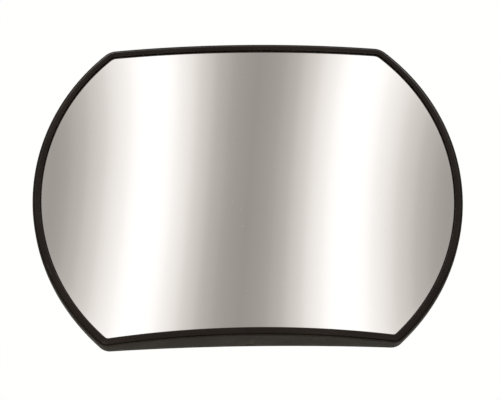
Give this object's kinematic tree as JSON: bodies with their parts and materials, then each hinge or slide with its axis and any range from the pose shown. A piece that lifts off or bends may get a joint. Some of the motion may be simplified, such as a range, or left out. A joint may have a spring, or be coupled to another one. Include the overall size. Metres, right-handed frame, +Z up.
{
  "type": "convex mirror",
  "caption": "Oblong convex mirror, domed glass in a black beaded housing, on a lockable ball swivel with a round wall plate.",
  "frame": {"origin": "centre of the wall pad's back face, in the plane of the wall", "axes": "-Y out of the wall towards the viewer, the way the mirror looks; +Z up; +X along the mirror's long side"},
  "size_m": [0.14, 0.0613, 0.1054],
  "materials": {
    "mirror_glass": "polished",
    "black_rim": "satin",
    "black_housing": "fine texture",
    "butyl_seal": "matte",
    "foam": "open foam",
    "zinc_steel": "zinc plated",
    "ball_chrome": "polished",
    "nylon_liner": "natural nylon",
    "black_nylon": "glass filled"
  },
  "bodies": {
    "wall_mount": {"wall_plate": "black_nylon", "wall_pad": "foam"},
    "ball_stud": {"ball_stud": "ball_chrome", "stud_washer": "zinc_steel", "stud_nut": "zinc_steel"},
    "socket_liner": {"socket_liner": "nylon_liner"},
    "mirror_head": {"mirror_lens": "mirror_glass", "rim_bezel": "black_rim", "lens_gasket": "butyl_seal", "foam_backing": "foam", "housing_shell": "black_housing", "back_cover": "black_housing", "cover_screw_1": "zinc_steel", "cover_screw_2": "zinc_steel", "cover_screw_3": "zinc_steel", "cover_screw_4": "zinc_steel", "cover_screw_5": "zinc_steel", "cover_screw_6": "zinc_steel", "load_plate": "zinc_steel", "ball_socket": "black_nylon", "socket_screw_1": "zinc_steel", "socket_screw_2": "zinc_steel", "socket_screw_3": "zinc_steel", "socket_screw_4": "zinc_steel", "socket_nut_1": "zinc_steel", "socket_nut_2": "zinc_steel", "socket_nut_3": "zinc_steel", "socket_nut_4": "zinc_steel"},
    "clamp_ring": {"clamp_ring": "black_nylon"}
  },
  "joints": [
    {"name": "stud_roll", "type": "hinge", "parent": "wall_mount", "child": "ball_stud", "pos_m": [0, -0.028, 0], "axis": [0, -1, 0], "continuous": true},
    {"name": "liner_pan", "type": "hinge", "parent": "ball_stud", "child": "socket_liner", "pos_m": [0, -0.028, 0], "axis": [0, 0, 1], "range_deg": [-25, 25]},
    {"name": "head_tilt", "type": "hinge", "parent": "socket_liner", "child": "mirror_head", "pos_m": [0, -0.028, 0], "axis": [1, 0, 0], "range_deg": [-25, 25]},
    {"name": "ring_turn", "type": "hinge", "parent": "mirror_head", "child": "clamp_ring", "pos_m": [0, -0.028, 0], "axis": [0, 1, 0], "range_deg": [0, 360]}
  ]
}
